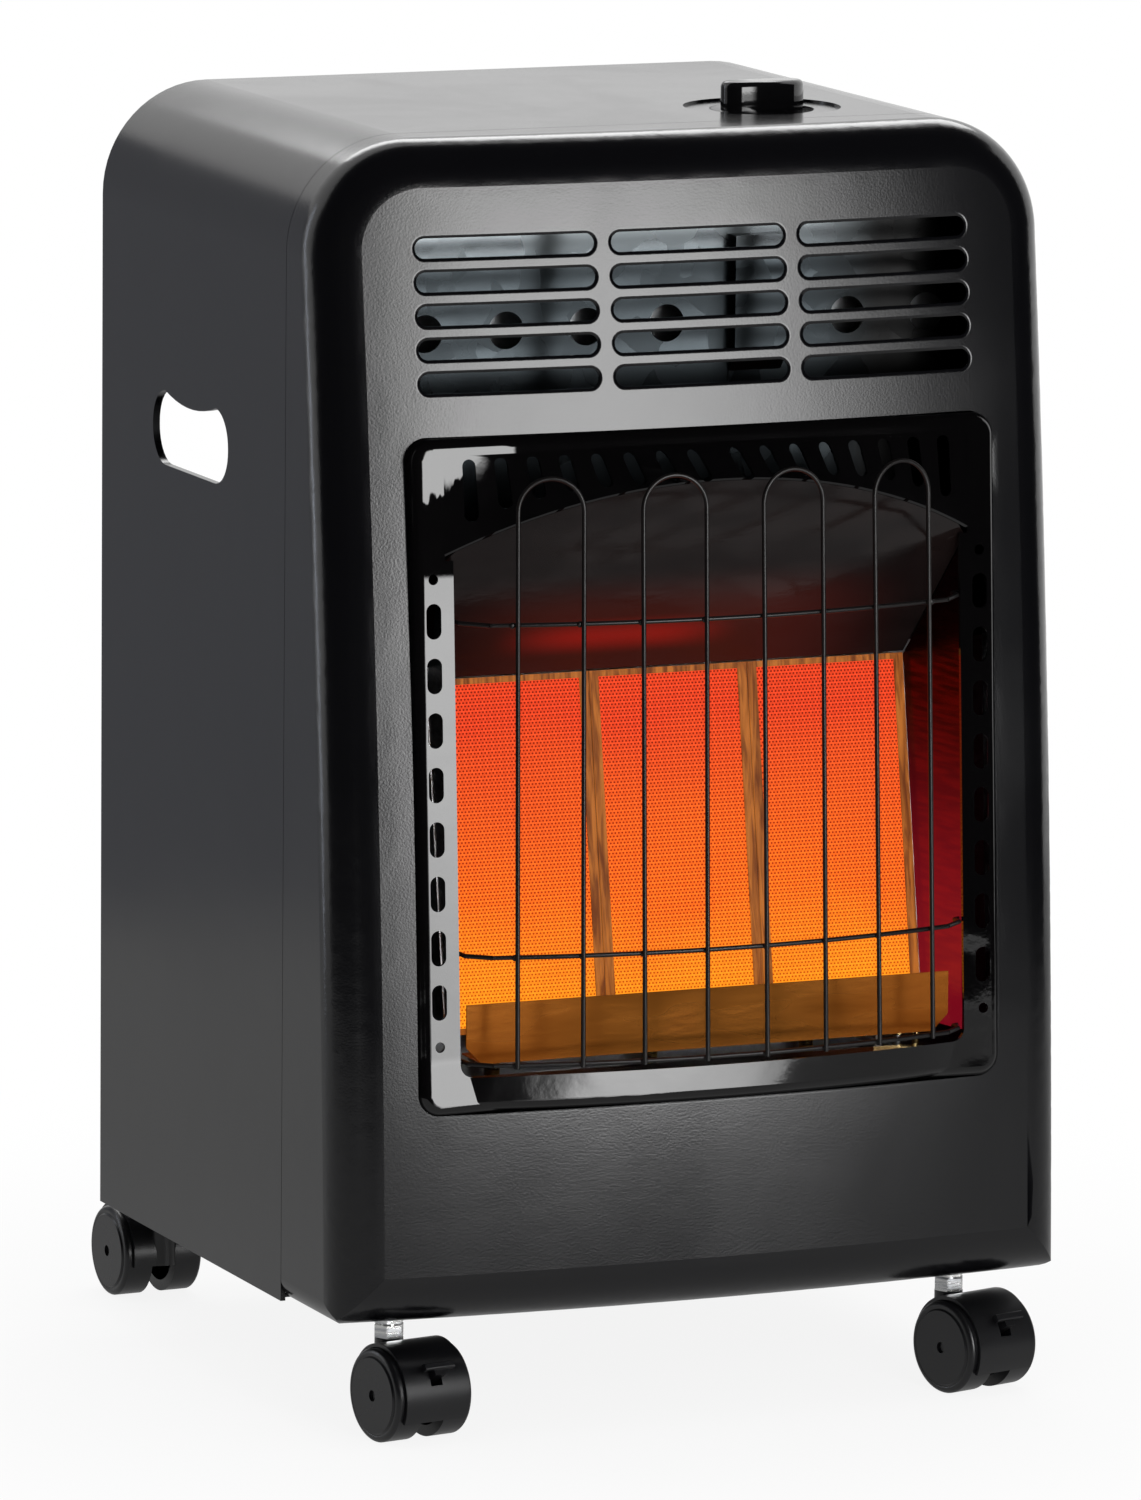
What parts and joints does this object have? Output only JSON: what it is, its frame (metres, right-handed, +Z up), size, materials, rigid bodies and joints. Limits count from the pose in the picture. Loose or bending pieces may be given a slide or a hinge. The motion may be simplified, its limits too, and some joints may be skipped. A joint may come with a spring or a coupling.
{
  "type": "cabinet gas heater",
  "caption": "Floor-standing cabinet heater with glowing infrared burners behind a wire guard, bowed slotted front, top knob and twin-wheel casters; open at the back for a gas cylinder.",
  "frame": {"origin": "middle of the footprint at floor level, under the wheels", "axes": "+Z up, the front with the guard faces -Y, +X to the right seen from the front"},
  "size_m": [0.42, 0.4718, 0.6991],
  "materials": {
    "brass": "machined",
    "cast_aluminium": "cast",
    "caster_nylon": "matte nylon",
    "ceramic_plaque": "glowing",
    "galvanised_steel": "galvanised",
    "gloss_black_enamel": "gloss enamel",
    "guard_wire": "satin coated wire",
    "knob_plastic": "gloss",
    "reflector_steel": "bright, heat tinted",
    "satin_black_steel": "satin powder coat",
    "switch_plastic": "matte",
    "tube_aluminium": "drawn tube",
    "white_ceramic": "glazed",
    "zinc_steel": "zinc plated"
  },
  "bodies": {
    "cabinet": {"baffle_strap": "galvanised_steel", "base_tray": "satin_black_steel", "bottom_deflector": "reflector_steel", "burner_cheeks": "galvanised_steel", "burner_left": "galvanised_steel", "burner_middle": "galvanised_steel", "burner_right": "galvanised_steel", "cabinet_wrap": "satin_black_steel", "caster_stems": "zinc_steel", "front_panel": "satin_black_steel", "gas_injectors": "brass", "gas_inlet_fitting": "brass", "gas_manifold": "zinc_steel", "gas_valve": "cast_aluminium", "guard_cross_wires": "guard_wire", "heat_shield": "galvanised_steel", "hood_reflector": "reflector_steel", "igniter_electrode": "white_ceramic", "main_gas_tube": "tube_aluminium", "pilot_burner": "brass", "pilot_gas_tube": "tube_aluminium", "plaque_frame_left": "galvanised_steel", "plaque_frame_middle": "galvanised_steel", "plaque_frame_right": "galvanised_steel", "plaque_left": "ceramic_plaque", "plaque_middle": "ceramic_plaque", "plaque_right": "ceramic_plaque", "side_reflector_left": "reflector_steel", "side_reflector_right": "reflector_steel", "stem_nuts": "zinc_steel", "surround_bezel": "gloss_black_enamel", "thermocouple": "brass", "tilt_switch": "switch_plastic", "valve_bracket": "galvanised_steel", "vent_baffle": "galvanised_steel", "wire_guard": "guard_wire"},
    "valve_plunger": {"push_sleeve": "brass"},
    "knob": {"control_knob": "knob_plastic", "valve_spindle": "brass"},
    "front_left_caster": {"front_left_caster_hood": "caster_nylon", "front_left_axle": "zinc_steel"},
    "front_left_outer_wheel": {"front_left_outer_wheel": "caster_nylon"},
    "front_left_inner_wheel": {"front_left_inner_wheel": "caster_nylon"},
    "front_left_brake_lever": {"front_left_brake_lever": "caster_nylon"},
    "front_right_caster": {"front_right_caster_hood": "caster_nylon", "front_right_axle": "zinc_steel"},
    "front_right_outer_wheel": {"front_right_outer_wheel": "caster_nylon"},
    "front_right_inner_wheel": {"front_right_inner_wheel": "caster_nylon"},
    "front_right_brake_lever": {"front_right_brake_lever": "caster_nylon"},
    "rear_left_caster": {"rear_left_caster_hood": "caster_nylon", "rear_left_axle": "zinc_steel"},
    "rear_left_outer_wheel": {"rear_left_outer_wheel": "caster_nylon"},
    "rear_left_inner_wheel": {"rear_left_inner_wheel": "caster_nylon"},
    "rear_right_caster": {"rear_right_caster_hood": "caster_nylon", "rear_right_axle": "zinc_steel"},
    "rear_right_outer_wheel": {"rear_right_outer_wheel": "caster_nylon"},
    "rear_right_inner_wheel": {"rear_right_inner_wheel": "caster_nylon"}
  },
  "joints": [
    {"name": "knob_push", "type": "slide", "parent": "cabinet", "child": "valve_plunger", "axis": [0, 0, -1], "range_m": [0, 0.0045], "stiffness_N_per_m": 1800, "springref_m": -0.003},
    {"name": "knob_turn", "type": "hinge", "parent": "valve_plunger", "child": "knob", "pos_m": [0.0863, -0.05733, 0.685], "axis": [0, 0, 1], "range_deg": [0, 210]},
    {"name": "front_left_swivel", "type": "hinge", "parent": "cabinet", "child": "front_left_caster", "pos_m": [-0.16325, -0.15203, 0.05], "axis": [0, 0, 1], "continuous": true},
    {"name": "front_left_outer_wheel_spin", "type": "hinge", "parent": "front_left_caster", "child": "front_left_outer_wheel", "pos_m": [-0.15951, -0.17371, 0.025], "axis": [0.9854, 0.1702, 0], "continuous": true},
    {"name": "front_left_inner_wheel_spin", "type": "hinge", "parent": "front_left_caster", "child": "front_left_inner_wheel", "pos_m": [-0.15951, -0.17371, 0.025], "axis": [0.9854, 0.1702, 0], "continuous": true},
    {"name": "front_left_brake_lever_press", "type": "hinge", "parent": "front_left_caster", "child": "front_left_brake_lever", "pos_m": [-0.15705, -0.18792, 0.03401], "axis": [0.9854, 0.1702, 0], "range_deg": [0, 18]},
    {"name": "front_right_swivel", "type": "hinge", "parent": "cabinet", "child": "front_right_caster", "pos_m": [0.16325, -0.15203, 0.05], "axis": [0, 0, 1], "continuous": true},
    {"name": "front_right_outer_wheel_spin", "type": "hinge", "parent": "front_right_caster", "child": "front_right_outer_wheel", "pos_m": [0.16917, -0.17322, 0.025], "axis": [0.9632, 0.2689, 0], "continuous": true},
    {"name": "front_right_inner_wheel_spin", "type": "hinge", "parent": "front_right_caster", "child": "front_right_inner_wheel", "pos_m": [0.16917, -0.17322, 0.025], "axis": [0.9632, 0.2689, 0], "continuous": true},
    {"name": "front_right_brake_lever_press", "type": "hinge", "parent": "front_right_caster", "child": "front_right_brake_lever", "pos_m": [0.17304, -0.18711, 0.03401], "axis": [0.9632, 0.2689, 0], "range_deg": [0, 18]},
    {"name": "rear_left_swivel", "type": "hinge", "parent": "cabinet", "child": "rear_left_caster", "pos_m": [-0.162, 0.18537, 0.05], "axis": [0, 0, 1], "continuous": true},
    {"name": "rear_left_outer_wheel_spin", "type": "hinge", "parent": "rear_left_caster", "child": "rear_left_outer_wheel", "pos_m": [-0.16319, 0.20734, 0.025], "axis": [-0.9985, -0.0541, 0], "continuous": true},
    {"name": "rear_left_inner_wheel_spin", "type": "hinge", "parent": "rear_left_caster", "child": "rear_left_inner_wheel", "pos_m": [-0.16319, 0.20734, 0.025], "axis": [-0.9985, -0.0541, 0], "continuous": true},
    {"name": "rear_right_swivel", "type": "hinge", "parent": "cabinet", "child": "rear_right_caster", "pos_m": [0.162, 0.18537, 0.05], "axis": [0, 0, 1], "continuous": true},
    {"name": "rear_right_outer_wheel_spin", "type": "hinge", "parent": "rear_right_caster", "child": "rear_right_outer_wheel", "pos_m": [0.16354, 0.20731, 0.025], "axis": [-0.9976, 0.0698, 0], "continuous": true},
    {"name": "rear_right_inner_wheel_spin", "type": "hinge", "parent": "rear_right_caster", "child": "rear_right_inner_wheel", "pos_m": [0.16354, 0.20731, 0.025], "axis": [-0.9976, 0.0698, 0], "continuous": true}
  ]
}
